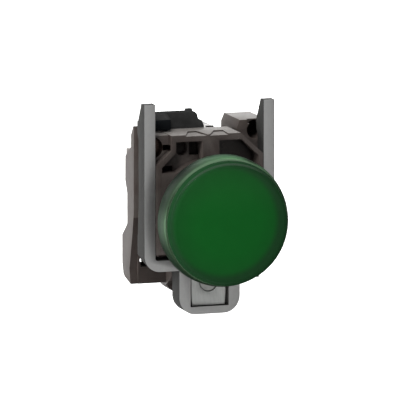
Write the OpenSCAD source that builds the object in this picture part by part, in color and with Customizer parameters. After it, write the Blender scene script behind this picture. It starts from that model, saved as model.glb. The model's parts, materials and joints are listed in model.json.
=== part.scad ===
// Panel pilot light for a 22 mm hole: metal head with a green lens, quick-fixing collar and LED block.
// +X is to the right seen from the front, +Y runs from the front of the panel to the rear, +Z is up.
// The origin is on the head's axis, where the back of the bezel meets the front of the panel.

/* [Head] */
// Diameter of the barrel that goes through the panel
barrel_d = 22; // [21.6:0.1:22.2]
// How far the bezel stands out past the barrel
flange_w = 3.5; // [3.3:0.1:4]
// Height of the bezel in front of the panel
bezel_h = 4.6; // [4.2:0.1:6]
// Radius of the bezel's crowned side
bezel_crown = 9.3; // [8:0.1:14]
// Broken front edge of the bezel
bezel_edge = 0.25; // [0.2:0.05:0.4]
// How far the lens's side lies inside the bezel's
lens_inset = 0.7; // [0.5:0.1:0.9]
// How far the lens stands in front of the bezel
lens_rise = 2.4; // [2.2:0.1:4]
// Radius of the lens's slightly domed face
lens_crown = 160; // [100:5:300]
// Wall of the lens
lens_wall = 1.5; // [1:0.1:2]
// Rounding of the lens's front edge
lens_edge = 1.7; // [1:0.1:1.8]
// Wall of the barrel
barrel_wall = 2; // [1.8:0.1:2.4]
// How far the gasket stands behind the bezel
gasket_proud = 0.6; // [0.3:0.1:1]

/* [Clamp frame] */
// Open space between the bezel and the clamp frame
grip = 8.1; // [7.6:0.1:9]
// How far the frame can travel towards the bezel
clamp_travel = 6.4; // [4:0.1:6.4]
// Height of the ears' tips above the head's axis
ear_top = 24.85; // [22:0.05:27]
// Depth of the tab's lower end below the head's axis
tab_drop = 22.35; // [21.5:0.05:24]
// Thickness of the arms and of the cross bar
arm_t = 2.5; // [2:0.1:2.8]
// Depth of the cross bar from front to rear
frame_depth = 5.4; // [4.4:0.1:5.7]
// Depth of the ears at their tips
ear_depth = 2.4; // [1.2:0.1:3]
// Depth of the arms' waist
waist_depth = 4.5; // [3:0.1:5]
// Width of the tab
tab_w = 14; // [13:0.2:15]
// Outer corner radius of the frame
frame_corner = 3.6; // [1:0.1:3.6]
// Corner radius of the tab
tab_corner = 3.8; // [2:0.1:4.5]
// Width of the window in the tab
window_w = 8.8; // [8:0.1:9.4]
// How far the plate lies back in the window
plate_recess = 0.9; // [0.5:0.1:1.8]

/* [Clamp screw] */
// Diameter of the clamp screw
screw_d = 3.5; // [3.2:0.1:3.8]
// Distance of the screw's axis below the cross bar
screw_below = 3; // [2.9:0.05:3.4]
// Diameter of the screw's head
screw_head_d = 6; // [5.4:0.1:6.2]
// Length of the screw's head
screw_head_h = 2.4; // [2:0.1:2.6]
// Width of the square nut
nut_w = 5.2; // [4.9:0.1:5.6]
// Thickness of the square nut
nut_t = 2.2; // [1.8:0.1:2.2]
// Cover of the lug above the nut
nut_cover = 0.25; // [0.2:0.05:0.5]

/* [Collar] */
// Depth of the tower that surrounds the barrel
tower_depth = 10; // [9.8:0.1:10.6]
// Wall of the tower beside the barrel
side_wall = 1.22; // [1.1:0.02:1.5]
// Height of the tower's top above the head's axis
tower_top = 17.75; // [17.2:0.05:18]
// Width of the tower's rim at its sides
rim = 0.95; // [0.7:0.05:1.2]
// Width of the tower's rim at its top
top_rim = 1.45; // [1:0.05:1.8]
// Depth of the pockets in the tower
pocket_depth = 5; // [2:0.5:7]
// Depth of the recess round the left pockets
recess_depth = 2.6; // [1:0.2:4]
// Width of the web between the two upper pockets
web_w = 3.9; // [3:0.1:5]
// Thickness of the base plate
base_t = 3.5; // [3.2:0.1:4.2]
// Thickness of the base's side cheeks
cheek_t = 1.8; // [1.2:0.1:2]
// How far the driver guide stands above the tower
guide_rise = 1.9; // [1.5:0.05:2.5]
// Length of the driver guide from front to rear
guide_len = 11.5; // [9:0.5:13]
// Diameter of the hole in the driver guide
guide_hole_d = 4.2; // [3.4:0.1:4.4]

/* [Locking lever] */
// Thickness of the locking ring and its lever
lever_t = 2.6; // [2.2:0.1:2.8]
// Angle through which the lever turns
lever_turn = 18; // [10:1:18]
// How far the lever stands above the tower
lever_rise = 3.6; // [3:0.05:4.5]
// Length of the lever's thumb pad, from front to rear
pad_len = 4.4; // [3:0.1:4.5]

/* [LED block] */
// Width of the LED block
block_w = 14; // [13.6:0.2:15]
// Height of the LED block
block_h = 28.7; // [28.2:0.1:30]
// Length of the block's housing behind the collar
housing_len = 8.5; // [8.4:0.1:10]
// Length of the block's cover
cover_len = 12.3; // [12.2:0.1:14]
// Wall of the block's housing
wall = 1.2; // [1:0.1:1.3]
// Space between the barrel and the snout that reaches into it
snout_gap = 0.7; // [0.5:0.1:1.2]
// Thickness of the circuit board
board_t = 1.6; // [1:0.2:2]
// Diameter of the wire entries
wire_d = 2.8; // [2.4:0.1:3]
// Diameter of the terminal screws
term_screw_d = 2.9; // [2.5:0.1:3]
// Diameter of the terminal screws' heads
term_head_d = 5.6; // [5:0.1:6]
// How far the wire clamps travel
clamp_stroke = 2.8; // [1.5:0.1:2.8]

/* [Hidden] */

$fn = 96;
over = 0.2;             // how far a cut runs past the face it opens
fit = 0.05;             // gap of a close fit
slide_gap = 0.13;       // gap between the clamp frame and the tower it slides on
free_gap = 0.3;         // gap of parts that only pass each other

// Head
barrel_r = barrel_d / 2;
barrel_ri = barrel_r - barrel_wall;
bezel_r = barrel_r + flange_w;
lens_r = bezel_r - lens_inset;
crown_at = 1.5;                         // where the bezel's side starts to curve inwards
gasket_seat = 0.7;                      // depth of the gasket's groove in the bezel
gasket_rim = 1.1;                       // rim of the bezel round that groove
gasket_r = bezel_r - gasket_rim;
skirt_rim = 2.2;                        // rim of the bezel round the lens's skirt
skirt_r = bezel_r - skirt_rim;
skirt_t = 1.5;
skirt_len = 2.4;
shelf_y = 1;                            // shoulder in the barrel that carries the diffuser
diffuser_t = 1.1;
diffuser_r = barrel_r - 0.5;
skirt_ro = skirt_r - fit;
skirt_ri = skirt_ro - skirt_t;
key_w = 3;                              // key that stops the head turning in a notched hole
key_len = 2.5;
key_h = 0.9;
key_root = 0.4;                         // how deep the key is rooted in the barrel
seal_r = 0.42;                          // section radius of the lens's seal
lens_y = -bezel_h - fit;                // back of the lens's rim
seal_y = lens_y + 0.55 * skirt_len;

// Clamp frame, which slides along the tower
bore_r = barrel_r + 0.15;               // bore of the tower
tower_x = bore_r + side_wall;
frame_y = grip;
arm_x = tower_x + slide_gap;            // inner face of the arms
frame_x = arm_x + arm_t;
bar_top = 1.1 - barrel_r;
bar_low = bar_top - arm_t;
screw_drop = -bar_low + screw_below;    // distance of the clamp screw below the head's axis
inner_corner = 0.6;
window_x = window_w / 2;
window_low = -tab_drop + 1.7;
window_top = bar_low - 0.2;
arm_joint = bar_low + 2 * frame_corner + 0.4;  // where the arms rise from the rounded corners
barrel_gap = 0.45;                      // space between the barrel and the cross bar's arc

// Clamp plate
plate_y = frame_y + plate_recess;
plate_t = 1.5;
plate_play = 0.45;                      // gap beside the plate in its window
plate_ear = 0.9;                        // how far the plate's ears reach into the tab
plate_ear_h = 1.3;
ear_low = window_top - plate_ear_h;
sink_depth = 0.6;                       // counterbore of the plate that takes the screw's tip

// Tower
tower_y = grip;
tower_back = tower_y + tower_depth;
tower_low = 2.4 - barrel_r;

// Left and right halves of the tower's front view, both measured from its top and sides
corner_in = 5.2;                        // how far the right corner is cut along the top
corner_down = 4.8;                      // how far it is cut down the side
step_x = -tower_x + 3.55;               // wall of the step at the left corner
step_z = tower_top - 3.5;
slope_z = tower_top - 6.55;             // where the left slope meets the side
pocket_top = tower_top - top_rim;
pocket_low = tower_top - 8.25;
bore_wall = 0.95;
web_x0 = 0.27 - web_w / 2;              // the web stands a little right of the middle
web_x1 = web_x0 + web_w;
recess_x = -tower_x + 1.4;              // left wall of the left recess
shoulder_y = tower_y + 2;

// Locking ring
ring_gap = 0.08;                        // running gap of the locking ring
lever_y = tower_back + free_gap;
ring_ri = barrel_r + ring_gap;
ring_ro = barrel_r + 1.9;
ring_wall = 1.1;                        // wall of the base round the locking ring
lever_top = tower_top + lever_rise;
tooth_r = barrel_r - 0.65;              // inner end of the teeth
tooth_w = 2.3;
groove_r = barrel_r - 0.8;
groove_gap = 0.2;
retainer_y = lever_y + lever_t + ring_gap;
retainer_t = 0.8;
retainer_ro = ring_ro + 0.8;
retainer_ear = tower_top - 0.15;
ear_x0 = 3.4;                           // ear at the top of the retainer
ear_x1 = 5;
barrel_end = retainer_y + retainer_t - 0.2;

// Base
base_back = retainer_y + retainer_t + 0.2;
base_y = base_back - base_t;
base_low = -screw_drop - 1.35;
base_top = tower_top - 4.15;
cheek_x = frame_x - cheek_t;
cheek_y = tower_y + 8;                  // front of the cheeks, clear of the arms at rest
cheek_len = 6.7;                        // length of the cheeks above their waist
guide_y = tower_y + 6;
guide_x = arm_x - 4.3;                  // inner face of the driver guide
guide_top = tower_top + guide_rise;
guide_low = base_top - 0.5;
guide_wall = 0.25;                      // wall round the hole in the guide

// Clamp screw and nut
screw_r = screw_d / 2;
screw_play = 0.3;                       // space round the screw in the collar
tip_r = screw_r - 0.4;
tip_flare = 0.6;
lug_back = base_back + 2.4;
lug_x = 6.9;
lug_round = 3;
lug_low = -screw_drop - 3.75;
lug_top = -screw_drop + nut_w / 2 + fit + nut_cover;
boss_y = frame_y + frame_depth + 0.7;   // front of the boss, behind the clamp frame
nut_y = lug_back - nut_t - 0.1;
head_y = lug_back + clamp_travel + 0.2;  // front of the head, short of the lug at full travel

// Hooks that hold the LED block to the base
block_low = lug_top + free_gap;         // underside of the LED block, clear of the lug
claw_x = 9.2;
claw_w = 1.6;
claw_z0 = block_low + 0.1;
claw_z1 = claw_z0 + 1.7;
claw_gap = 0.1;
claw_lip = 0.5;

// Slots at the base's lower corners, beside the hooks
slot_x = claw_x + claw_w + claw_gap;
slot_top = claw_z0 + 0.2;
slot_h = 1.2;
slot_w = 1.85;
slot_floor = 0.7;                       // what is left of the base behind the slots
notch_x = slot_x + slot_w - 0.5;

// LED block
block_x = block_w / 2;
block_y = base_back + 0.1;
block_top = block_low + block_h;
block_mid = block_low + block_h / 2;
snout_r = barrel_ri - snout_gap;
snout_y = tower_y + 6.4;
snout_t = 0.9;
snout_in = 1.5;                         // how far back the board starts in the snout
led_r = 2.5;
snout_board = snout_r - 3.1;            // half the board's height inside the snout
snout_low = snout_board - 0.8;          // inner end of the rails that hold the board
rail_x = 1.8;
split_y = block_y + housing_len;        // parting plane of housing and cover
block_back = split_y + cover_len;
cell_half = 3.6;                        // half the height of a terminal's cell
cell_x = block_x - wall - 1.1;
term_z = block_h / 2 - wall - cell_half - 0.1;  // screws above and below the block's middle
bar_y = split_y + 1.5;                  // front of the contact bars
bar_t = 1;
bar_play = 0.2;                         // space round the contact bars and the wire clamps
leg_z = term_z - cell_half + 0.1;       // inner leg of a contact bar, on the board's edge
leg_t = 0.8;
clamp_t = 1.1;
clamp_y = bar_y + bar_t + clamp_stroke + 0.7;
step_y = block_back - 3;                // rear of the block at its terminals
mid_z = 3.4;                            // half the height of the hollow between the terminals
wire_y = bar_y + bar_t + wire_d / 2 + 0.3;
wire_x = term_screw_d / 2 + wire_d / 2 + 0.1;
wing_z0 = base_top - 5;                 // wings of the housing, behind the cheeks
wing_z1 = guide_low - 0.2;
wing_len = 3.1;

// Turns a shape made along Z so that it runs along Y
module along_y(y = 0) {
    translate([0, y, 0])
        rotate([-90, 0, 0])
            children();
}

// Extrudes a front view, drawn as X and Z, from y0 to y1
module slab(y0, y1) {
    translate([0, y1, 0])
        rotate([90, 0, 0])
            linear_extrude(y1 - y0)
                children();
}

// Extrudes a side view, drawn as Y and Z, from x0 to x1
module side(x0, x1) {
    translate([x0, 0, 0])
        rotate([90, 0, 90])
            linear_extrude(x1 - x0)
                children();
}

// Rectangle between two corners
module span(x0, z0, x1, z1) {
    translate([x0, z0])
        square([x1 - x0, z1 - z0]);
}

// Block between two corners
module block(a, b) {
    translate(a)
        cube(b - a);
}

// Rod along Y at a place in the front view
module rod(r, y0, y1, x = 0, z = 0) {
    translate([x, 0, z])
        along_y(y0)
            cylinder(r = r, h = y1 - y0);
}

module both_sides() {
    children();
    mirror([1, 0, 0])
        children();
}

// Points of an arc round x, y, with its angle counted from the front of the axis outwards
function arc(x, y, r, from, to, steps) = [
    for (i = [0 : steps]) let (t = from + (to - from) * i / steps) [x + r * sin(t), y - r * cos(t)]
];

// Corner circle of a rounded outline
module corner(x, z, r) {
    translate([x, z])
        circle(r = r);
}

module bezel_body() color("#8d938e") {
    difference() {
        union() {
            along_y()
                rotate_extrude()
                    bezel_profile();
            translate([-key_w / 2, gasket_proud + 0.1, barrel_r - key_root])
                cube([key_w, key_len, key_h + key_root]);
        }
        // ways in for the locking ring's teeth
        for (half_turn = [0, 180])
            rotate([0, lever_turn + half_turn, 0])
                block([groove_r, lever_y, -tooth_w / 2 - groove_gap],
                    [barrel_r + over, barrel_end + over, tooth_w / 2 + groove_gap]);
    }
}

module bezel_profile() {
    floor_y = -bezel_h + skirt_len + free_gap;
    crown_x = bezel_r - bezel_crown;
    front_y = -bezel_h + bezel_edge;
    front_turn = acos((-crown_at - front_y) / bezel_crown);
    front_r = crown_x + bezel_crown * sin(front_turn);
    polygon(concat([
        [barrel_ri, shelf_y],
        [barrel_ri, barrel_end],
        [barrel_r, barrel_end],
        [barrel_r, lever_y + lever_t + groove_gap],
        [groove_r, lever_y + lever_t + groove_gap],
        [groove_r, lever_y - groove_gap],
        [barrel_r, lever_y - groove_gap],
        [barrel_r, -gasket_seat],
        [gasket_r, -gasket_seat],
        [gasket_r, 0],
        [bezel_r, 0]
    ], arc(crown_x, -crown_at, bezel_crown, 90, front_turn, 8), [
        [front_r - bezel_edge, -bezel_h],
        [skirt_r, -bezel_h],
        [skirt_r, floor_y],
        [diffuser_r + fit, floor_y],
        [diffuser_r + fit, shelf_y]
    ]));
}

module lens() color("#16501f") {
    along_y()
        rotate_extrude()
            lens_profile();
}

// Shell with a slightly domed face and a rounded edge, and a short skirt with a groove for the seal
module lens_profile() {
    crown_y = lens_y - lens_rise + lens_crown;
    sag = lens_crown - sqrt(pow(lens_crown, 2) - pow(lens_r, 2));
    edge = min(lens_edge, lens_rise - sag);
    edge_x = lens_r - edge;
    edge_turn = asin(edge_x / (lens_crown - edge));
    edge_step = (90 - edge_turn) / 10;
    edge_y = crown_y - (lens_crown - edge) * cos(edge_turn);
    inner_r = lens_crown - lens_wall;
    inner_turn = asin(skirt_ri / inner_r);
    seal_floor = skirt_ro - 2 * seal_r;
    polygon(concat(
        arc(0, crown_y, inner_r, inner_turn, 0, 6),
        arc(0, crown_y, lens_crown, 0, edge_turn, 8),
        arc(edge_x, edge_y, edge, edge_turn + edge_step, 90, 9),
        [
            [lens_r, lens_y],
            [skirt_ro, lens_y],
            [skirt_ro, seal_y - seal_r - fit],
            [seal_floor, seal_y - seal_r - fit],
            [seal_floor, seal_y + seal_r + fit],
            [skirt_ro, seal_y + seal_r + fit],
            [skirt_ro, lens_y + skirt_len],
            [skirt_ri, lens_y + skirt_len]
        ]
    ));
}

module lens_seal() color("#1a1a1a") {
    along_y(seal_y)
        rotate_extrude()
            translate([skirt_ro - seal_r + fit / 2, 0])
                circle(r = seal_r, $fn = 24);
}

module diffuser() color("#f2f2ec") {
    rod(diffuser_r, shelf_y - fit - diffuser_t, shelf_y - fit);
}

module panel_gasket() color("#222222") {
    difference() {
        rod(gasket_r - fit, -gasket_seat + fit, gasket_proud);
        rod(barrel_r + fit, -gasket_seat - over, gasket_proud + over);
    }
}

module tower_outline() {
    polygon([
        [-tower_x, tower_low],
        [tower_x, tower_low],
        [tower_x, tower_top - corner_down],
        [tower_x - corner_in, tower_top],
        [step_x, tower_top],
        [step_x, step_z],
        [-tower_x, slope_z]
    ]);
}

// Pocket at the right, whose edge keeps the rim's width along the cut corner
module right_pocket() {
    rise = corner_down / corner_in;
    inset = rim * norm([corner_in, corner_down]) / corner_in;
    difference() {
        polygon([
            [web_x1, pocket_low],
            [tower_x - rim, pocket_low],
            [tower_x - rim, tower_top - corner_down + rim * rise - inset],
            [tower_x - (corner_down - top_rim + inset) / rise, pocket_top],
            [web_x1, pocket_top]
        ]);
        circle(r = bore_r + bore_wall);
    }
}

// Shallow recess at the left, below the step and the slope
module left_recess() {
    difference() {
        polygon([
            [recess_x, pocket_low],
            [web_x0, pocket_low],
            [web_x0, pocket_top],
            [step_x + 1.1, pocket_top],
            [step_x + 1.1, step_z - 0.35],
            [recess_x, slope_z - 0.5]
        ]);
        circle(r = bore_r + bore_wall);
    }
}

// Round-ended slot and square pocket inside the left recess, and a hole at the recess's lower end
module left_pockets() {
    cup_w = 2.7;
    cup_x = step_x + 1.75;
    cup_low = step_z - 1.35;
    corner(cup_x + cup_w / 2, cup_low + cup_w / 2, cup_w / 2);
    span(cup_x, cup_low + cup_w / 2, cup_x + cup_w, pocket_top);
    difference() {
        union() {
            span(cup_x + cup_w + 0.4, cup_low, web_x0, pocket_top);
            span(recess_x, pocket_low, recess_x + 3.2, pocket_low + 1.2);
        }
        circle(r = bore_r + bore_wall);
    }
}

// Shoulder behind the step, with a round channel along its left side
module shoulder() {
    channel_r = 2.3;
    channel_in = 2.1;
    channel_z = slope_z + 3.8;
    slab(shoulder_y, tower_back)
        difference() {
            span(-tower_x, slope_z - 1, step_x + 0.5, tower_top - 0.1);
            corner(-tower_x + channel_in - channel_r, channel_z, channel_r);
        }
}

// Two alignment marks pressed into the tower's top
module top_marks() {
    mark_depth = 0.3;
    translate([0, 0, tower_top - mark_depth])
        linear_extrude(mark_depth + over) {
            polygon([[0, tower_y - over], [4.2, tower_y - over], [4.7, tower_y + 5.1], [2.5, tower_y + 5.1]]);
            polygon([
                [-5.6, tower_y - over], [-0.45, tower_y - over],
                [-1.45, tower_y + 5.5], [-3.45, tower_y + 5.2]
            ]);
        }
}

// Side of the base, seen from the left: clear of the arms in front, with a foot at the bottom
module cheek_outline() {
    y = cheek_y;
    top = guide_top - 0.65;
    slope_top = base_top + 0.5;
    slope_low = base_top - 2.1;
    waist_y = y + cheek_len - 1.5;
    waist_top = [waist_y + 1.5, 6.1];
    waist_low = [waist_y, -3.5];
    foot_y = y + cheek_len + 2.4;
    foot = base_low;
    polygon([
        [y, top], [y + 0.6, top], [y + 2.3, top - 2.3], [y + 2.3, slope_top],
        [y + cheek_len - 0.1, slope_low], waist_top, [waist_y, 3.4], waist_low,
        [foot_y, -6.6], [foot_y, foot + 3.85], [foot_y - 0.9, foot + 1.45], [foot_y - 1.9, foot + 0.95],
        [y + 2.7, foot], [y + 3.6, foot + 3.35], [y + 1, -4.4], [y + 0.2, -0.5]
    ]);
}

// Box at the upper right with a round way in for a wire or a driver
module driver_guide() {
    bevel_w = 0.7;
    bevel_h = 1.7;
    slab(guide_y, guide_y + guide_len)
        polygon([
            [guide_x, guide_low],
            [frame_x, guide_low],
            [frame_x, guide_top],
            [guide_x + bevel_w, guide_top],
            [guide_x, guide_top - bevel_h]
        ]);
}

// Blind hole in the guide, and the notch in the guide's top that it opens into
module driver_guide_hole() {
    r = guide_hole_d / 2;
    x = frame_x - r - guide_wall;
    notch_h = 0.9;
    notch_len = 1.2;
    rod(r, guide_y - over, guide_y + 8, x, guide_top - guide_wall - r);
    block([x - r + 0.1, guide_y - over, guide_top - notch_h],
        [frame_x + over, guide_y + notch_len, guide_top + over]);
}

// Boss in front of the base that the clamp screw goes through, with a rising underside
module screw_boss() {
    side(-lug_x, lug_x)
        polygon([
            [boss_y, tower_low],
            [base_y + 0.1, tower_low],
            [base_y + 0.1, -screw_drop - 2.1],
            [boss_y, -screw_drop + 0.85]
        ]);
}

// Lug under the base that holds the clamp screw's nut
module screw_lug() {
    slab(base_y, lug_back) {
        span(-lug_x, lug_low + lug_round, lug_x, lug_top);
        span(-lug_x + lug_round, lug_low, lug_x - lug_round, lug_top);
        for (side_x = [-1, 1])
            corner(side_x * (lug_x - lug_round), lug_low + lug_round, lug_round);
    }
}

module collar_body() color("#6a6560") {
    difference() {
        union() {
            slab(tower_y, tower_back)
                tower_outline();
            shoulder();
            rod(ring_ro + ring_wall, tower_back - ring_wall, base_y + 0.7);
            slab(base_y, base_back)
                span(-cheek_x - 0.1, base_low, cheek_x + 0.1, base_top);
            both_sides()
                side(cheek_x, frame_x)
                    cheek_outline();
            driver_guide();
            screw_boss();
            screw_lug();
        }
        rod(bore_r, tower_y - over, base_back + over);
        slab(tower_y - over, tower_y + pocket_depth)
            right_pocket();
        slab(tower_y - over, tower_y + recess_depth)
            left_recess();
        slab(tower_y - over, tower_y + pocket_depth)
            left_pockets();
        top_marks();
        // small hole in the shoulder, which opens beside the step
        block([step_x - 1.4, tower_y + 0.6, step_z], [step_x + 0.5, shoulder_y + 4, step_z + 1.3]);
        driver_guide_hole();
        // room for the locking ring, its lever and its retainer
        rod(ring_ro + ring_gap, lever_y - ring_gap, base_back + over);
        rod(retainer_ro + fit, retainer_y - fit, base_back + over);
        slab(lever_y - ring_gap, base_back + over)
            span(-arm_x - 0.2, base_top - 4.7, guide_x - 0.2, lever_top + over);
        // clamp screw and its nut
        rod(screw_r + screw_play, boss_y - over, lug_back + over, 0, -screw_drop);
        block([-nut_w / 2 - fit, nut_y - fit, -screw_drop - nut_w / 2 - fit],
            [nut_w / 2 + fit, lug_back + over, -screw_drop + nut_w / 2 + fit]);
        both_sides() {
            block([claw_x - claw_gap, tower_back - 1.3, claw_z0 - claw_gap],
                [claw_x + claw_w + claw_gap, base_back + over, claw_z1 + claw_gap]);
            slab(base_y - over, base_back - slot_floor)
                span(slot_x, slot_top - slot_h, slot_x + slot_w, slot_top);
            // notch above the slot, which goes through
            slab(base_y - over, base_y + base_t / 2)
                span(notch_x, slot_top - 0.1, notch_x + 0.7, slot_top + 0.8);
            slab(base_y + base_t / 2 - 0.4, base_back + over)
                span(notch_x - 1.15, slot_top - 0.5, notch_x + 0.35, slot_top + 0.5);
        }
    }
}

module locking_lever() color("#1c1c1c") {
    pad_x0 = -arm_x + 1;
    pad_x1 = pad_x0 + 4.4;
    pad_low = tower_top + 0.35;
    pad_y = lever_y - pad_len;
    pad_top = lever_top - 0.9;
    ramp_len = 2.4;
    hub_z = ring_ro - 1.9;
    groove_step = 0.75;
    difference() {
        union() {
            slab(lever_y, lever_y + lever_t)
                difference() {
                    union() {
                        circle(r = ring_ro);
                        polygon([
                            [pad_x0, lever_top], [-0.25, lever_top], [0.35, lever_top - 0.5],
                            [0.7, lever_top - 1.9], [1.45, lever_top - 2], [2, tower_top + 0.3],
                            [1.9, hub_z], [-6, hub_z], [pad_x0, tower_top - 0.95]
                        ]);
                    }
                    circle(r = ring_ri);
                }
            slab(lever_y + lever_t - 1, lever_y + lever_t)
                span(-1.75, lever_top - 1, -0.25, lever_top + 0.45);
            side(pad_x0, pad_x1)
                polygon([
                    [pad_y, pad_low],
                    [lever_y + 1, pad_low],
                    [lever_y + 1, lever_top],
                    [lever_y, lever_top],
                    [pad_y + ramp_len, lever_top - 0.05],
                    [pad_y, pad_top]
                ]);
            for (half_turn = [0, 180])
                rotate([0, half_turn, 0])
                    block([tooth_r, lever_y, -tooth_w / 2], [ring_ri + 0.8, lever_y + lever_t, tooth_w / 2]);
        }
        // grip grooves across the thumb pad
        for (i = [0 : 2])
            translate([pad_x0 + 1, pad_y + 0.35 + groove_step * i, pad_top - 0.15 + 0.28 * i])
                cube([pad_x1 - pad_x0 - 1.8, 0.4, 2]);
    }
}

// Ring that keeps the locking ring in the base, with a stop for the lever at its top
module ring_retainer() color("#262626") {
    slab(retainer_y, retainer_y + retainer_t)
        difference() {
            union() {
                circle(r = retainer_ro);
                span(ear_x0, ring_ri + 1, ear_x1, retainer_ear);
            }
            circle(r = ring_ri + free_gap);
            corner(0, -screw_drop, screw_r + screw_play);
        }
}

module frame_outline() {
    tab_x = tab_w / 2;
    r = frame_corner;
    difference() {
        union() {
            span(-frame_x, bar_low + r, frame_x, arm_joint);
            span(-frame_x + r, bar_low, frame_x - r, bar_top);
            span(-tab_x, -tab_drop + tab_corner, tab_x, bar_top);
            span(-tab_x + tab_corner, -tab_drop, tab_x - tab_corner, bar_top);
            for (side_x = [-1, 1]) {
                corner(side_x * (frame_x - r), bar_low + r, r);
                corner(side_x * (tab_x - tab_corner), -tab_drop + tab_corner, tab_corner);
            }
        }
        span(-arm_x, bar_top + inner_corner, arm_x, arm_joint + over);
        span(-arm_x + inner_corner, bar_top, arm_x - inner_corner, arm_joint + over);
        for (side_x = [-1, 1])
            corner(side_x * (arm_x - inner_corner), bar_top + inner_corner, inner_corner);
    }
}

// Arm seen from the side: slim at its tip, narrowed along the tower
module arm_outline() {
    y = frame_y;
    polygon([
        [y, arm_joint - 0.01],
        [y, ear_top],
        [y + ear_depth, ear_top],
        [y + frame_depth + 0.1, ear_top - 5.2],
        [y + frame_depth - 0.1, ear_top - 7],
        [y + waist_depth, ear_top - 8.3],
        [y + waist_depth, 2],
        [y + frame_depth - 0.2, arm_joint - 0.01]
    ]);
}

// Cut along a lower corner of the frame, which deepens towards the rear
module corner_chamfer() {
    depth = 0.9;
    w = frame_corner * (sqrt(2) - 1);
    translate([-frame_x, 0, bar_low])
        rotate([0, 45, 0])
            side(-frame_corner - 1, frame_corner + 1)
                polygon([
                    [frame_y - over, w - 0.2],
                    [frame_y + frame_depth + over, w + depth],
                    [frame_y + frame_depth + over, -w],
                    [frame_y - over, -w]
                ]);
}

module clamp_frame() color("#8c8c8c") {
    difference() {
        union() {
            slab(frame_y, frame_y + frame_depth)
                frame_outline();
            both_sides()
                side(arm_x, frame_x)
                    arm_outline();
        }
        rod(barrel_r + barrel_gap, frame_y - over, frame_y + frame_depth + over);
        slab(frame_y - over, frame_y + frame_depth + over)
            span(-window_x, window_low, window_x, window_top);
        // shoulder that the plate's ears bear on, open to the rear
        slab(plate_y, frame_y + frame_depth + over)
            span(-window_x - plate_ear, ear_low, window_x + plate_ear, window_top);
        both_sides()
            corner_chamfer();
    }
}

module clamp_plate() color("#8a8c8a") {
    x = window_x - plate_play;
    low = window_low + 0.1;
    top = window_top - 0.1;
    taper = 0.2;
    corner_h = 2.5;
    difference() {
        slab(plate_y + 0.01, plate_y + plate_t) {
            polygon([
                [-x + taper, low], [x - taper, low], [x, low + corner_h], [x, top],
                [-x, top], [-x, low + corner_h]
            ]);
            span(-window_x - plate_ear + fit, ear_low + fit, window_x + plate_ear - fit, top);
        }
        rod(tip_r + fit, plate_y - over, plate_y + plate_t + over, 0, -screw_drop);
        rod(tip_r + tip_flare + 0.15, plate_y - over, plate_y + sink_depth, 0, -screw_drop);
    }
}

module clamp_screw() color("#b4b2ad") {
    shank_y = plate_y + plate_t + fit;
    groove_w = 1;
    groove_depth = 1.4;
    groove_len = screw_head_d - 2;
    difference() {
        union() {
            rod(tip_r + tip_flare, plate_y + 0.1, plate_y + sink_depth - 0.02, 0, -screw_drop);
            rod(tip_r, plate_y + 0.2, shank_y + 0.1, 0, -screw_drop);
            rod(screw_r, shank_y, head_y + 0.1, 0, -screw_drop);
            rod(screw_head_d / 2, head_y, head_y + screw_head_h, 0, -screw_drop);
        }
        // cross recess
        for (turn = [0, 90])
            translate([0, 0, -screw_drop])
                rotate([0, turn, 0])
                    block([-groove_len / 2, head_y + screw_head_h - groove_depth, -groove_w / 2],
                        [groove_len / 2, head_y + screw_head_h + over, groove_w / 2]);
    }
}

module clamp_nut() color("#a5a5a0") {
    difference() {
        translate([-nut_w / 2, nut_y, -screw_drop - nut_w / 2])
            cube([nut_w, nut_t, nut_w]);
        rod(screw_r + fit, nut_y - over, nut_y + nut_t + over, 0, -screw_drop);
    }
}

// Places a terminal part, drawn with its height measured from the block's middle
module at_terminal(upper) {
    translate([0, 0, block_mid])
        mirror([0, 0, upper ? 0 : 1])
            children();
}

module block_housing() color("#625d58") {
    inner_x = block_x - wall;
    difference() {
        union() {
            slab(block_y, split_y)
                span(-block_x, block_low, block_x, block_top);
            both_sides() {
                block([block_x - 0.1, block_y, claw_z0], [claw_x + claw_w, block_y + 2, claw_z1]);
                block([claw_x, tower_back, claw_z0], [claw_x + claw_w, block_y + 2, claw_z1]);
                block([claw_x, tower_back, claw_z0], [claw_x + claw_w + claw_lip, base_y - fit, claw_z1]);
                block([block_x - 0.1, block_y, wing_z0], [cheek_x - 0.1, block_y + wing_len, wing_z1]);
                block([cheek_x - 0.2, cheek_y + cheek_len + 0.1, wing_z0],
                    [frame_x - 1, block_y + wing_len, wing_z1]);
            }
            rod(snout_r, snout_y, block_y + wall);
        }
        slab(block_y + wall, split_y + over)
            span(-inner_x, block_low + wall, inner_x, block_top - wall);
        difference() {
            snout_bore();
            // rails that hold the circuit board
            for (turn = [0, 180])
                rotate([0, turn, 0])
                    difference() {
                        block([-rail_x, snout_y + 2.5, snout_low], [rail_x, block_y + wall + 1, snout_r]);
                        block([-board_t / 2 - fit, snout_y + 2, snout_low - over],
                            [board_t / 2 + fit, block_y + wall + 2, snout_board + fit]);
                    }
        }
    }
}

// Bore of the snout, narrowed to the block's inside where it meets the housing
module snout_bore() {
    r = snout_r - snout_t;
    rod(r, snout_y - over, block_y + wall / 2);
    intersection() {
        rod(r, snout_y, block_y + wall + over);
        block([-block_x + wall, snout_y, -r], [block_x - wall, block_y + wall + over, r]);
    }
}

// Side view of the cover: two lower steps for the terminals and a raised middle
module cover_outline() {
    raised = mid_z + wall;
    polygon([
        [split_y, block_low], [step_y, block_low], [step_y, block_mid - raised - 1],
        [block_back, block_mid - raised], [block_back, block_mid + raised],
        [step_y, block_mid + raised + 1], [step_y, block_top], [split_y, block_top]
    ]);
}

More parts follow.
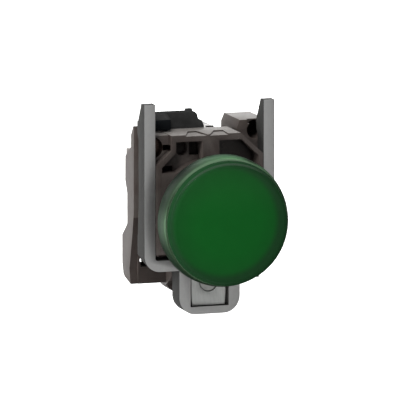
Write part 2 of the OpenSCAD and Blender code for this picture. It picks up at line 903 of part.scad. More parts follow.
module terminal_cell() {
    cell_low = term_z - cell_half;
    cell_high = block_h / 2 - wall;
    rebate_x = cell_x + 0.5 + fit;
    slab(bar_y, clamp_y + clamp_t + 0.15)
        span(-cell_x, cell_low, cell_x, cell_high);
    // rebate that the contact bar sits in, open to the front
    slab(split_y - over, bar_y + bar_t + fit)
        span(-rebate_x, cell_low - 0.1, rebate_x, cell_high - 0.1);
    rod(term_head_d / 2 + free_gap, clamp_y, step_y + over, 0, term_z);
    for (x = [-wire_x, wire_x])
        translate([x, wire_y, block_h / 2 - wall - over])
            cylinder(r = wire_d / 2, h = wall + 2 * over);
}

module block_cover() color("#3a3735") {
    inner_x = block_x - wall;
    difference() {
        side(-block_x, block_x)
            cover_outline();
        for (upper = [true, false])
            at_terminal(upper)
                terminal_cell();
        slab(split_y - over, block_back - wall)
            span(-inner_x, block_mid - mid_z, inner_x, block_mid + mid_z);
    }
}

module reflector() color("#e8e8e0") {
    ring = snout_r - snout_t - fit;
    mouth = barrel_ri - free_gap;
    neck = led_r + 0.6;
    t = 0.8;
    back = snout_y + snout_in - 0.2;
    front = snout_y - 5.9;
    along_y()
        rotate_extrude()
            polygon([
                [neck, snout_y], [mouth - 0.6, front], [mouth, front], [mouth, front + 1],
                [ring, front + 2.6], [ring, back], [ring - t, back], [ring - t, front + 3.8],
                [neck + 0.5, back], [neck, back]
            ]);
}

module led_lamp() color("#bfe8c4") {
    lamp_y = snout_y - led_r;
    foot = snout_y + snout_in - fit;
    flange_h = 1;
    flange_r = led_r + 0.4;
    along_y()
        rotate_extrude() {
            intersection() {
                translate([0, lamp_y])
                    circle(r = led_r);
                translate([0, lamp_y - led_r])
                    square([led_r, led_r + 0.01]);
            }
            translate([0, lamp_y])
                square([led_r, foot - lamp_y]);
            translate([0, foot - flange_h])
                square([flange_r, flange_h]);
        }
}

module circuit_board() color("#2f6b3c") {
    edge = leg_z - fit;
    tail = mid_z - 0.2;
    low = block_mid - edge;
    high = block_mid + edge;
    front = snout_y + snout_in;
    wide_y = block_y + wall + free_gap;
    wide_back = split_y - free_gap;
    back = block_back - wall - free_gap;
    side(-board_t / 2, board_t / 2)
        polygon([
            [front, -snout_board], [wide_y, -snout_board], [wide_y, low], [wide_back, low],
            [wide_back, block_mid - tail], [back, block_mid - tail], [back, block_mid + tail],
            [wide_back, block_mid + tail], [wide_back, high], [wide_y, high],
            [wide_y, snout_board], [front, snout_board]
        ]);
}

module dropper_resistor() color("#b9a27a") {
    body_r = 1.2;
    body_len = 5.2;
    lead_r = 0.3;
    lead_in = 0.4;
    x = -board_t / 2 - body_r - 0.4;
    y = block_y + wall + 1.6;
    z = block_mid + 2;
    rod(body_r, y, y + body_len, x, z);
    for (lead_y = [y + lead_in, y + body_len - lead_in])
        translate([x, lead_y, z])
            rotate([0, 90, 0])
                cylinder(r = lead_r, h = -x - board_t / 2 - 0.02);
}

module smoothing_capacitor() color("#33415c") {
    body_r = 2.1;
    x = board_t / 2 + fit + body_r;
    rod(body_r, bar_y, block_back - wall - 2, x, block_mid);
}

module contact_bar() {
    half_w = cell_x + 0.5;
    leg_x = 1.5;
    leg_y = block_y + wall + 1.5;
    difference() {
        union() {
            block([-half_w, bar_y, leg_z], [half_w, bar_y + bar_t, block_h / 2 - wall - bar_play]);
            block([-leg_x, leg_y, leg_z], [leg_x, bar_y + 0.1, leg_z + leg_t]);
        }
        rod(term_screw_d / 2 + fit, bar_y - over, bar_y + bar_t + over, 0, term_z);
    }
}

module contact_bar_upper() color("#c9a94f") {
    at_terminal(true)
        contact_bar();
}

module contact_bar_lower() color("#c9a94f") {
    at_terminal(false)
        contact_bar();
}

// Square clamp that rides under the screw's head, with a lip along its inner edge
module wire_clamp() {
    half_w = cell_x - bar_play;
    half_h = cell_half - 0.3;
    lip_h = 0.55;
    lip_t = 0.8;
    difference() {
        union() {
            block([-half_w, clamp_y, term_z - half_h], [half_w, clamp_y + clamp_t, term_z + half_h]);
            block([-half_w, clamp_y - lip_h, term_z - half_h],
                [half_w, clamp_y + 0.1, term_z - half_h + lip_t]);
        }
        rod(term_screw_d / 2 + fit, clamp_y - over, clamp_y + clamp_t + over, 0, term_z);
    }
}

module wire_clamp_upper() color("#b4b2ad") {
    at_terminal(true)
        wire_clamp();
}

module wire_clamp_lower() color("#b4b2ad") {
    at_terminal(false)
        wire_clamp();
}

module terminal_screw() {
    r = term_screw_d / 2;
    tip_len = 2.4;
    ring_t = 0.3;
    head_front = clamp_y + clamp_t + fit;
    head_back = step_y - 0.15;
    groove_w = 0.8;
    groove_depth = 1;
    groove_len = term_head_d - 1.6;
    difference() {
        union() {
            rod(r, bar_y - tip_len, head_front + 0.1, 0, term_z);
            rod(r + 0.4, clamp_y - fit - ring_t, clamp_y - fit, 0, term_z);
            rod(term_head_d / 2, head_front, head_back, 0, term_z);
        }
        for (turn = [0, 90])
            translate([0, 0, term_z])
                rotate([0, turn, 0])
                    block([-groove_len / 2, head_back - groove_depth, -groove_w / 2],
                        [groove_len / 2, head_back + over, groove_w / 2]);
    }
}

module terminal_screw_upper() color("#b4b2ad") {
    at_terminal(true)
        terminal_screw();
}

module terminal_screw_lower() color("#b4b2ad") {
    at_terminal(false)
        terminal_screw();
}

bezel_body();
lens();
lens_seal();
diffuser();
panel_gasket();
collar_body();
locking_lever();
ring_retainer();
clamp_frame();
clamp_plate();
clamp_screw();
clamp_nut();
block_housing();
block_cover();
reflector();
led_lamp();
circuit_board();
dropper_resistor();
smoothing_capacitor();
contact_bar_upper();
contact_bar_lower();
wire_clamp_upper();
wire_clamp_lower();
terminal_screw_upper();
terminal_screw_lower();
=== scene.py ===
"""Panel pilot light: looks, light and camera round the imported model."""

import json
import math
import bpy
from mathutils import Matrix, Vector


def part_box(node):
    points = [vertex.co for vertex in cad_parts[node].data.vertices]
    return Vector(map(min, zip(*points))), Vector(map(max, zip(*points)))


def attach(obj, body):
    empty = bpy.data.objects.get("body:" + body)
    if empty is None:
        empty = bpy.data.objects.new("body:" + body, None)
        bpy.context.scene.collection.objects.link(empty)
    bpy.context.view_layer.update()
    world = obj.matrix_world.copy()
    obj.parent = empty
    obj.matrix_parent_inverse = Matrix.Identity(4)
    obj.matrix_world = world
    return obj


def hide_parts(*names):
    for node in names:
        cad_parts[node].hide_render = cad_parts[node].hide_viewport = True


bl_info = {
    "name": "Panel Pilot Light",
    "version": (1, 0, 0),
    "blender": (4, 5, 0),
    "location": "View3D > Sidebar > Pilot Light",
    "description": "Dresses a 22 mm panel pilot light with a green lens and its quick-fixing collar",
    "category": "Add Mesh",
}

import bmesh
import bpy
from bpy.props import FloatProperty, IntProperty, PointerProperty, StringProperty
from mathutils import Vector

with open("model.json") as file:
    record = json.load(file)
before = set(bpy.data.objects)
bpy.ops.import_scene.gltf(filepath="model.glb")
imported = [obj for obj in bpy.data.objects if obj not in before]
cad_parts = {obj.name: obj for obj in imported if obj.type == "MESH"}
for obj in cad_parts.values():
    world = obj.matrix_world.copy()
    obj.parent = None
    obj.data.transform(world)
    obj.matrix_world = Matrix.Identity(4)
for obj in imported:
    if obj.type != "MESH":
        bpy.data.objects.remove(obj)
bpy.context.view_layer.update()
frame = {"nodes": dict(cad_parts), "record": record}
MM = 0.001
BODY_OF = {node: body for body, nodes in frame["record"]["behaviour"]["bodies"].items() for node in nodes}


def length(name, description, default, low, high):
    """A size in metres."""
    return FloatProperty(name=name, description=description, default=default, min=low, max=high,
                         precision=5, unit="LENGTH", subtype="DISTANCE")


def shade(name, description, default):
    """A colour written as six sRGB hex digits."""
    return StringProperty(name=name, description=description, default=default, maxlen=6)


class PilotLightSizes(bpy.types.PropertyGroup):
    """Sizes that the solids leave to the dressed model."""

    lens_edge: length("Lens edge", "Rounding of the lens's front edge", 0.0017, 0.0008, 0.002)
    lens_crown: length("Lens crown", "Radius of the lens's slightly domed face", 0.16, 0.08, 0.3)
    lens_wall: length("Lens wall", "Wall of the lens", 0.0015, 0.001, 0.002)
    mould_edge: length("Moulded edge", "Rounding of the collar's moulded edges", 0.0001, 0.00005, 0.0003)
    cast_edge: length("Cast edge", "Rounding of the cast frame's edges", 0.00012, 0.00005, 0.0005)
    steel_edge: length("Steel edge", "Broken edge of the small steel pieces", 0.00008, 0.00003, 0.0002)
    clamp_screw: length("Clamp screw", "Diameter over its thread", 0.0035, 0.0032, 0.0038)
    clamp_pitch: length("Clamp screw pitch", "Distance from thread to thread", 0.0007, 0.0005, 0.001)
    terminal_screw: length("Terminal screws", "Diameter over their thread", 0.0029, 0.0025, 0.003)
    terminal_pitch: length("Terminal screw pitch", "From thread to thread", 0.0005, 0.0004, 0.0008)
    round_steps: IntProperty(name="Round steps", description="Steps round the lens", default=256,
                             min=64, max=512)


class PilotLightColours(bpy.types.PropertyGroup):
    """Colours as sRGB hex digits."""

    lens: shade("Lens", "Green of the moulded lens", "0e4418")
    # painted shade: the dark green drawn round the lens's edge, where the inner wall would show through
    lens_rim_shade: shade("Lens rim", "Green where the lens's dark inner wall shows through", "16311b")
    bezel: shade("Bezel", "Dark satin plating of the bezel", "727a73")
    frame_face: shade("Frame face", "Ground front of the clamp frame", "a8a8a7")
    # painted shade: the frame's sides are given this dark grey for the light they miss
    frame_sides_shade: shade("Frame sides", "As-cast sides of the clamp frame", "343433")
    frame_edge: shade("Frame edges", "Tumbled edges of the clamp frame", "8a8a89")
    collar: shade("Collar", "Warm dark grey of the moulded collar", "403b38")
    collar_edge: shade("Collar edges", "Rubbed edges of the collar", "645d58")
    lever: shade("Lever", "Black of the locking lever", "353535")
    housing: shade("Housing", "Grey of the LED block's housing", "5a5550")
    cover: shade("Cover", "Dark grey of the LED block's cover", "343130")
    rubber: shade("Rubber", "Black of the gasket and the seal", "171717")
    steel: shade("Steel", "Zinc plating of the screws and clamps", "a6a7a3")


def linear(code, alpha=1.0):
    """Linear colour of six sRGB hex digits."""
    channels = [int(code[i:i + 2], 16) / 255 for i in (0, 2, 4)]
    return [c / 12.92 if c <= 0.04045 else ((c + 0.055) / 1.055) ** 2.4 for c in channels] + [alpha]


def sizes():
    return bpy.context.scene.pilot_light_sizes


def colours():
    return bpy.context.scene.pilot_light_colours


def add(tree, kind, values=None, links=None, **settings):
    """Adds one shader node with its settings, its sockets' values and what they are linked to."""
    node = tree.nodes.new("ShaderNode" + kind)
    for name, value in settings.items():
        setattr(node, name, value)
    for socket, value in (values or {}).items():
        node.inputs[socket].default_value = value
    for socket, source in (links or {}).items():
        tree.links.new(source, node.inputs[socket])
    return node


def finish(tree, shader, colour, gloss, bump):
    """Links a finish's colour, roughness and bump to its shader."""
    for socket, source in (("Base Color", colour), ("Roughness", gloss), ("Normal", bump)):
        tree.links.new(source, shader.inputs[socket])


def start_material(name, **sockets):
    """New material with constants on its shader's own sockets; returns material, tree and shader."""
    material = bpy.data.materials.new(name)
    material.use_nodes = True
    tree = material.node_tree
    shader = tree.nodes["Principled BSDF"]
    for socket, value in sockets.items():
        shader.inputs[socket.replace("_", " ")].default_value = value
    return material, tree, shader


def lens_green():
    # Polycarbonate, moulded: deep even green with a dull face and a band of painted sheen on the rounded
    # edge; painted shade darkens the edge, further in at the lower right, and the side, standing for the dark
    # inner wall and bezel seen through the plastic.
    c = colours()
    material, tree, shader = start_material("moulded_green_polycarbonate", IOR=1.585)
    place = add(tree, "TexCoord").outputs["Object"]
    split = add(tree, "SeparateXYZ", links={0: place}).outputs
    flat = add(tree, "VectorMath", {1: (1, 0, 1)}, {0: place}, operation="MULTIPLY").outputs[0]
    radius = add(tree, "VectorMath", links={0: flat}, operation="LENGTH").outputs["Value"]
    # painted shade for the dark inner wall behind the face: a ring drawn off centre, so that it reaches
    # further in at the lower right
    wall_shift, wall_from, wall_to = (1.2 * MM, 0, -0.6 * MM), 11.0 * MM, 12.8 * MM
    shifted = add(tree, "VectorMath", {1: wall_shift}, {0: flat}).outputs[0]
    inner = add(tree, "VectorMath", links={0: shifted}, operation="LENGTH").outputs["Value"]
    rim = add(tree, "MapRange", {"From Min": wall_from, "From Max": wall_to}, {"Value": inner},
              interpolation_type="SMOOTHSTEP").outputs[0]
    body = add(tree, "Mix", {6: linear(c.lens), 7: linear(c.lens_rim_shade)}, {0: rim},
               data_type="RGBA").outputs[2]
    # painted shade: the back of the rounded edge and the side take a dark green, standing for the dark bezel
    # seen through the thin skirt
    skirt_from, skirt_to = -6.9 * MM, -6.1 * MM
    painted_skirt_shade = add(tree, "MapRange", {"From Min": skirt_from, "From Max": skirt_to},
                {"Value": split["Y"]}).outputs[0]
    whole = add(tree, "Mix", {7: linear("14301a")}, {0: painted_skirt_shade, 6: body}, data_type="RGBA").outputs[2]
    # faint cloudiness of the frosted inside, about 3 mm across
    cloud = add(tree, "TexNoise", {"Scale": 1 / (3 * MM), "Detail": 3}, {"Vector": place}).outputs["Fac"]
    value = add(tree, "MapRange", {"To Min": 0.95, "To Max": 1.05}, {"Value": cloud}).outputs[0]
    veil = add(tree, "HueSaturation", links={"Color": whole, "Value": value}).outputs[0]
    # painted sheen on a band of the rounded edge alone, where it makes the highlight line; towards the bottom
    # it fades to a tenth, painted shade on the edge's lower half
    face_end, edge_from, edge_to, side_start = 12.8 * MM, 13.1 * MM, 13.3 * MM, 13.5 * MM
    painted_dull_below, whole_above = 2 * MM, 8 * MM
    edge_sheen, dull = 0.5, 0.04
    rising = add(tree, "MapRange", {"From Min": face_end, "From Max": edge_from, "To Min": dull,
                                    "To Max": edge_sheen}, {"Value": radius}).outputs[0]
    falling = add(tree, "MapRange", {"From Min": edge_to, "From Max": side_start, "To Min": edge_sheen,
                                     "To Max": dull}, {"Value": radius}).outputs[0]
    band = add(tree, "Math", links={0: rising, 1: falling}, operation="MINIMUM").outputs[0]
    upper = add(tree, "MapRange", {"From Min": painted_dull_below, "From Max": whole_above, "To Min": 0.1},
                {"Value": split["Z"]}).outputs[0]
    edge = add(tree, "Math", links={0: band, 1: upper}, operation="MULTIPLY").outputs[0]
    tree.links.new(edge, shader.inputs["Specular IOR Level"])
    # fine wiping marks, half a millimetre apart, and a rougher side
    wipe = add(tree, "TexNoise", {"Scale": 1 / (0.5 * MM)}, {"Vector": place}).outputs["Fac"]
    polish = add(tree, "MapRange", {"To Min": 0.16, "To Max": 0.24}, {"Value": wipe}).outputs[0]
    side = add(tree, "MapRange", {"From Min": edge_to, "From Max": side_start, "To Max": 0.6},
               {"Value": radius}).outputs[0]
    gloss = add(tree, "Math", links={0: polish, 1: side}, operation="ADD").outputs[0]
    # flow waves of the moulding, 2 mm apart and a few microns deep
    wave = add(tree, "TexNoise", {"Scale": 1 / (2 * MM), "Detail": 1}, {"Vector": place}).outputs["Fac"]
    bump = add(tree, "Bump", {"Strength": 1, "Distance": 0.003 * MM}, {"Height": wave}).outputs[0]
    finish(tree, shader, veil, gloss, bump)
    return material


def bezel_zinc():
    # Die-cast zinc, turned and plated in dark satin: a soft sheen drawn round the ring by the turning marks.
    c = colours()
    material, tree, shader = start_material("satin_plated_turned_zinc", Metallic=1.0, Anisotropic=0.3,
                                            Specular_Tint=linear("7d8a80"))
    place = add(tree, "TexCoord").outputs["Object"]
    flat = add(tree, "VectorMath", {1: (1, 0, 1)}, {0: place}, operation="MULTIPLY").outputs[0]
    radius = add(tree, "VectorMath", links={0: flat}, operation="LENGTH").outputs["Value"]
    depth = add(tree, "SeparateXYZ", links={0: place}).outputs["Y"]
    across = add(tree, "CombineXYZ", links={"X": radius, "Y": depth}).outputs[0]
    # turning marks 0.12 mm apart, coarser than the real 0.05 mm so that they show
    marks = add(tree, "TexNoise", {"Scale": 1 / (0.12 * MM)}, {"Vector": across}).outputs["Fac"]
    cloud = add(tree, "TexNoise", {"Scale": 1 / (4 * MM), "Detail": 3}, {"Vector": place}).outputs["Fac"]
    patch = add(tree, "MapRange", {"From Min": 0.35, "From Max": 0.7}, {"Value": cloud}).outputs[0]
    plating = add(tree, "Mix", {6: linear("646c65"), 7: linear(c.bezel)}, {0: patch},
                  data_type="RGBA").outputs[2]
    # painted reflection: the lens's green is painted onto the plating next to it, and a brighter green onto
    # the rounded front as a painted highlight
    near_from, near_to, front_from, front_to = -2 * MM, -4.5 * MM, -3.7 * MM, -4.3 * MM
    near = add(tree, "MapRange", {"From Min": near_from, "From Max": near_to}, {"Value": depth}).outputs[0]
    painted_green_reflection = add(tree, "Mix", {7: linear("667d67")}, {0: near, 6: plating}, data_type="RGBA").outputs[2]
    front = add(tree, "MapRange", {"From Min": front_from, "From Max": front_to},
                {"Value": depth}).outputs[0]
    colour = add(tree, "Mix", {7: linear("8cb08d")}, {0: front, 6: painted_green_reflection}, data_type="RGBA").outputs[2]
    gloss = add(tree, "MapRange", {"To Min": 0.4, "To Max": 0.52}, {"Value": marks}).outputs[0]
    bump = add(tree, "Bump", {"Strength": 1, "Distance": 0.006 * MM}, {"Height": marks}).outputs[0]
    finish(tree, shader, colour, gloss, bump)
    return material


def frame_zinc():
    # Bare die-cast zinc: the front is ground flat and tumbled to an even light grey; the sides and top, found
    # by the way they face, keep the rougher skin of the mould and are painted dark, a painted shade for the
    # light they miss.
    c = colours()
    material, tree, shader = start_material("ground_and_as_cast_zinc_painted_shade", Specular_IOR_Level=0.2)
    coords = add(tree, "TexCoord")
    place = coords.outputs["Object"]
    across = add(tree, "SeparateXYZ", links={0: coords.outputs["Normal"]}).outputs["Y"]
    facing = add(tree, "Math", links={0: across}, operation="ABSOLUTE").outputs[0]
    ground = add(tree, "MapRange", {"From Min": 0.5, "From Max": 0.95}, {"Value": facing}).outputs[0]
    # the mould's skin, about 0.35 mm across and 10 microns deep
    skin = add(tree, "TexNoise", {"Scale": 1 / (0.35 * MM), "Detail": 4}, {"Vector": place}).outputs["Fac"]
    # tumbling marks of the ground front, about 0.9 mm across
    wear_and_painted_light = add(tree, "TexNoise", {"Scale": 1 / (0.9 * MM), "Detail": 4}, {"Vector": place}).outputs["Fac"]
    # painted shade: the dark grey of the sides and top
    cast = add(tree, "Mix", {6: linear("262625"), 7: linear(c.frame_sides_shade)}, {0: skin},
               data_type="RGBA").outputs[2]
    face = add(tree, "Mix", {6: linear("9c9c9b"), 7: linear(c.frame_face)}, {0: wear_and_painted_light},
               data_type="RGBA").outputs[2]
    colour = add(tree, "Mix", links={0: ground, 6: cast, 7: face}, data_type="RGBA").outputs[2]
    dull = add(tree, "MapRange", {"To Min": 0.7, "To Max": 0.85}, {"Value": skin}).outputs[0]
    sheen = add(tree, "MapRange", {"To Min": 0.34, "To Max": 0.44}, {"Value": wear_and_painted_light}).outputs[0]
    gloss = add(tree, "Mix", links={0: ground, 2: dull, 3: sheen}).outputs[0]
    # the mould's skin is an oxide layer, and grinding bares the metal
    bare = add(tree, "MapRange", {"To Max": 0.85}, {"Value": ground}).outputs[0]
    tree.links.new(bare, shader.inputs["Metallic"])
    bump = add(tree, "Bump", {"Strength": 1, "Distance": 0.01 * MM}, {"Height": skin}).outputs[0]
    finish(tree, shader, colour, gloss, bump)
    return material


def frame_edge_zinc():
    # The frame's edges, rounded and brightened where the castings rub against each other in the drum.
    material, tree, shader = start_material("tumbled_zinc_edge", Metallic=0.5, Specular_IOR_Level=0.3)
    place = add(tree, "TexCoord").outputs["Object"]
    nick = add(tree, "TexNoise", {"Scale": 1 / (0.5 * MM), "Detail": 4}, {"Vector": place}).outputs["Fac"]
    worn = add(tree, "MapRange", {"From Min": 0.4, "From Max": 0.6}, {"Value": nick}).outputs[0]
    colour = add(tree, "Mix", {6: linear("555554"), 7: linear(colours().frame_edge)}, {0: worn},
                 data_type="RGBA").outputs[2]
    gloss = add(tree, "MapRange", {"To Min": 0.36, "To Max": 0.55}, {"Value": nick}).outputs[0]
    bump = add(tree, "Bump", {"Strength": 1, "Distance": 0.008 * MM}, {"Height": nick}).outputs[0]
    finish(tree, shader, colour, gloss, bump)
    return material


def moulded(name, dark, light, mottle, grit, depth, rough, shine=0.5):
    """Moulded polymer: its mottle's colours and size, its eroded grain's size and depth, all sizes in mm,
    and the ends of its roughness."""
    material, tree, shader = start_material(name, IOR=1.5, Specular_IOR_Level=shine)
    place = add(tree, "TexCoord").outputs["Object"]
    cloud = add(tree, "TexNoise", {"Scale": 1 / (mottle * MM), "Detail": 4}, {"Vector": place}).outputs["Fac"]
    patch = add(tree, "MapRange", {"From Min": 0.3, "From Max": 0.72}, {"Value": cloud}).outputs[0]
    colour = add(tree, "Mix", {6: linear(dark), 7: linear(light)}, {0: patch}, data_type="RGBA").outputs[2]
    erosion = add(tree, "TexNoise", {"Scale": 1 / (grit * MM)}, {"Vector": place}).outputs["Fac"]
    gloss = add(tree, "MapRange", {"To Min": rough[0], "To Max": rough[1]}, {"Value": erosion}).outputs[0]
    bump = add(tree, "Bump", {"Strength": 1, "Distance": depth * MM}, {"Height": erosion}).outputs[0]
    finish(tree, shader, colour, gloss, bump)
    return material


def recoloured(material, inside, colour):
    """Gives a finish another colour where a mask is 1, and takes its sheen away there."""
    tree = material.node_tree
    shader = tree.nodes["Principled BSDF"]
    base = shader.inputs["Base Color"].links[0].from_socket
    mixed = add(tree, "Mix", {7: linear(colour)}, {0: inside, 6: base}, data_type="RGBA").outputs[2]
    tree.links.new(mixed, shader.inputs["Base Color"])
    shine = shader.inputs["Specular IOR Level"]
    sheen = add(tree, "MapRange", {"To Min": shine.default_value, "To Max": 0.0}, {"Value": inside})
    if shine.is_linked:
        tree.links.new(shine.links[0].from_socket, sheen.inputs["To Min"])
    tree.links.new(sheen.outputs[0], shine)
    return material


def collar_polyamide():
    # Glass-filled polyamide, moulded: dark warm grey with a fine eroded grain, dull from the front and
    # shining where it is seen at a low angle; the fibres near the skin give a slight mottle.
    material = moulded("moulded_glass_filled_polyamide", "38312e", colours().collar, mottle=2.5, grit=0.16,
                       depth=0.004, rough=(0.5, 0.64), shine=0.4)
    tree = material.node_tree
    coords = add(tree, "TexCoord").outputs
    place = add(tree, "SeparateXYZ", links={0: coords["Object"]}).outputs
    facing = add(tree, "SeparateXYZ", links={0: coords["Normal"]}).outputs
    # painted light: the tower's top, facing up above 16 mm, is painted lighter and loses its sheen
    top_from, top_to = 16 * MM, 17 * MM
    upward = add(tree, "MapRange", {"From Min": 0.7, "From Max": 0.95}, {"Value": facing["Z"]}).outputs[0]
    raised = add(tree, "MapRange", {"From Min": top_from, "From Max": top_to, "To Max": 0.85},
                 {"Value": place["Z"]}).outputs[0]
    wear_and_painted_light = add(tree, "Math", links={0: upward, 1: raised}, operation="MULTIPLY").outputs[0]
    recoloured(material, wear_and_painted_light, "6a6764")
    # painted shade: the hollows, found by ambient occlusion, are painted darker and lose their sheen
    hollow_reach = 2.5 * MM
    openness = add(tree, "AmbientOcclusion", {"Distance": hollow_reach}, only_local=True).outputs["AO"]
    painted_hollow_shade = add(tree, "MapRange", {"From Min": 0.66, "From Max": 0.3, "To Max": 0.8},
                 {"Value": openness}).outputs[0]
    recoloured(material, painted_hollow_shade, "140f0c")
    # painted shade: the round channel beside the lever is painted dark too and loses its sheen
    channel_x, channel_z, channel_radius, channel_end = -12.57 * MM, 15 * MM, 2.35 * MM, 16 * MM
    offset = add(tree, "VectorMath", {1: (-channel_x, 0, -channel_z)}, {0: coords["Object"]}).outputs[0]
    flat = add(tree, "VectorMath", {1: (1, 0, 1)}, {0: offset}, operation="MULTIPLY").outputs[0]
    radius = add(tree, "VectorMath", links={0: flat}, operation="LENGTH").outputs["Value"]
    within = add(tree, "Math", {1: channel_radius}, {0: radius}, operation="LESS_THAN").outputs[0]
    ahead = add(tree, "Math", {1: channel_end}, {0: place["Y"]}, operation="LESS_THAN").outputs[0]
    painted_channel_shade = add(tree, "Math", links={0: within, 1: ahead}, operation="MULTIPLY").outputs[0]
    recoloured(material, painted_channel_shade, "1e1815")
    # painted shade: the base's forward faces, behind the clamp frame, are painted darker for the frame's
    # shade
    base_front = 16.5 * MM
    forward = add(tree, "Math", {1: -0.5}, {0: facing["Y"]}, operation="LESS_THAN").outputs[0]
    deep = add(tree, "Math", {1: base_front}, {0: place["Y"]}, operation="GREATER_THAN").outputs[0]
    painted_frame_shade = add(tree, "Math", links={0: forward, 1: deep}, operation="MULTIPLY").outputs[0]
    share = add(tree, "Math", {1: 0.7}, {0: painted_frame_shade}, operation="MULTIPLY").outputs[0]
    return recoloured(material, share, "241f1d")


def collar_edge_polyamide():
    # The same polyamide along its edges, where handling has rubbed the skin a little lighter.
    return moulded("rubbed_glass_filled_polyamide", "544e4a", colours().collar_edge, mottle=0.8, grit=0.16,
                   depth=0.003, rough=(0.5, 0.64), shine=0.4)


def lever_polyamide():
    # Black polyamide, moulded: dark grey-black with a low sheen along its flats; painted shade makes it a
    # little darker and without sheen on top, and darkest on the thumb pad's front.
    material = moulded("moulded_black_polyamide", "2b2b2b", colours().lever, mottle=2, grit=0.14, depth=0.003,
                       rough=(0.6, 0.75), shine=0.05)
    tree = material.node_tree
    coords = add(tree, "TexCoord").outputs
    depth = add(tree, "SeparateXYZ", links={0: coords["Object"]}).outputs["Y"]
    facing = add(tree, "SeparateXYZ", links={0: coords["Normal"]}).outputs["Z"]
    # painted shade: the thumb pad's front is painted darkest
    pad_front = 14.1 * MM
    front = add(tree, "Math", {1: pad_front}, {0: depth}, operation="LESS_THAN").outputs[0]
    recoloured(material, front, "141618")
    # painted shade: faces that look up are painted a shade darker and lose their sheen
    upward = add(tree, "MapRange", {"From Min": 0.4, "From Max": 0.8}, {"Value": facing}).outputs[0]
    return recoloured(material, upward, "292929")


def lever_edge_polyamide():
    # The lever's edges, polished by the thumb.
    return moulded("thumb_polished_black_polyamide", "1b1b1c", "252526", mottle=0.8, grit=0.14, depth=0.002,
                   rough=(0.5, 0.62), shine=0.3)


def housing_plastic():
    # Unsaturated polyester, moulded, front half of the LED block: mid grey, dull.
    return moulded("moulded_grey_polyester", "524d49", colours().housing, mottle=2.5, grit=0.18, depth=0.005,
                   rough=(0.4, 0.56))


def cover_plastic():
    # Unsaturated polyester, moulded, rear half of the LED block: dark grey with an eroded, dull skin.
    return moulded("moulded_dark_polyester", "2d2a29", colours().cover, mottle=2.5, grit=0.18, depth=0.006,
                   rough=(0.42, 0.6))


def cover_edge_plastic():
    # The cover's edges, a shade lighter where the hard skin has been rubbed.
    return moulded("rubbed_dark_polyester", "3a3635", "4a4644", mottle=0.8, grit=0.18, depth=0.004,
                   rough=(0.4, 0.55))


def opal_plastic():
    # Opal acrylic, moulded: milky white that scatters light, with a soft gloss.
    return moulded("moulded_opal_acrylic", "e0e0da", "eaeae6", mottle=3, grit=0.3, depth=0.002,
                   rough=(0.3, 0.4))


def nitrile():
    # Nitrile rubber, moulded: matte black with a dusty grey bloom in patches.
    return moulded("moulded_nitrile_rubber", "262626", colours().rubber, mottle=2.5, grit=0.2, depth=0.008,
                   rough=(0.6, 0.8), shine=0.3)


def resistor_lacquer():
    # Baked lacquer of the film resistor: glossy beige, uneven where it ran.
    return moulded("baked_beige_lacquer", "a8906a", "bfa67c", mottle=1.5, grit=0.5, depth=0.004,
                   rough=(0.2, 0.35))


def capacitor_sleeve():
    # Shrunk polyester sleeve of the capacitor: smooth dark blue with faint shrink wrinkles.
    return moulded("shrunk_polyester_sleeve", "243358", "2c3d63", mottle=2, grit=0.8, depth=0.006,
                   rough=(0.18, 0.3))


def plated_steel():
    # Zinc-plated steel, passivated: even grey with cloudy patches and a satin gloss.
    material, tree, shader = start_material("zinc_plated_steel", Metallic=1.0)
    place = add(tree, "TexCoord").outputs["Object"]
    cloud = add(tree, "TexNoise", {"Scale": 1 / (1.2 * MM), "Detail": 4}, {"Vector": place}).outputs["Fac"]
    patch = add(tree, "MapRange", {"From Min": 0.3, "From Max": 0.7}, {"Value": cloud}).outputs[0]
    colour = add(tree, "Mix", {6: linear("8c8d8a"), 7: linear(colours().steel)}, {0: patch},
                 data_type="RGBA").outputs[2]
    gloss = add(tree, "MapRange", {"To Min": 0.25, "To Max": 0.45}, {"Value": cloud}).outputs[0]
    # crystal grain of the plating, drawn 0.1 mm across so that it shows
    crystal = add(tree, "TexNoise", {"Scale": 1 / (0.1 * MM)}, {"Vector": place}).outputs["Fac"]
    bump = add(tree, "Bump", {"Strength": 1, "Distance": 0.002 * MM}, {"Height": crystal}).outputs[0]
    finish(tree, shader, colour, gloss, bump)
    return material


def window_plate_steel():
    # Stamped steel, zinc plated: duller than the screws, with the sheet's rolling lines running upwards.
    material, tree, shader = start_material("zinc_plated_stamped_steel", Metallic=0.85,
                                            Specular_IOR_Level=0.25)
    place = add(tree, "TexCoord").outputs["Object"]
    # rolling lines 0.25 mm apart and eight times as long
    along = add(tree, "VectorMath", {1: (1, 1, 0.12)}, {0: place}, operation="MULTIPLY").outputs[0]
    lines = add(tree, "TexNoise", {"Scale": 1 / (0.25 * MM), "Detail": 3}, {"Vector": along}).outputs["Fac"]
    patch = add(tree, "MapRange", {"From Min": 0.3, "From Max": 0.7}, {"Value": lines}).outputs[0]
    colour = add(tree, "Mix", {6: linear("aeb0ae"), 7: linear("c0c2bf")}, {0: patch},
                 data_type="RGBA").outputs[2]
    gloss = add(tree, "MapRange", {"To Min": 0.4, "To Max": 0.56}, {"Value": lines}).outputs[0]
    bump = add(tree, "Bump", {"Strength": 1, "Distance": 0.003 * MM}, {"Height": lines}).outputs[0]
    finish(tree, shader, colour, gloss, bump)
    return material


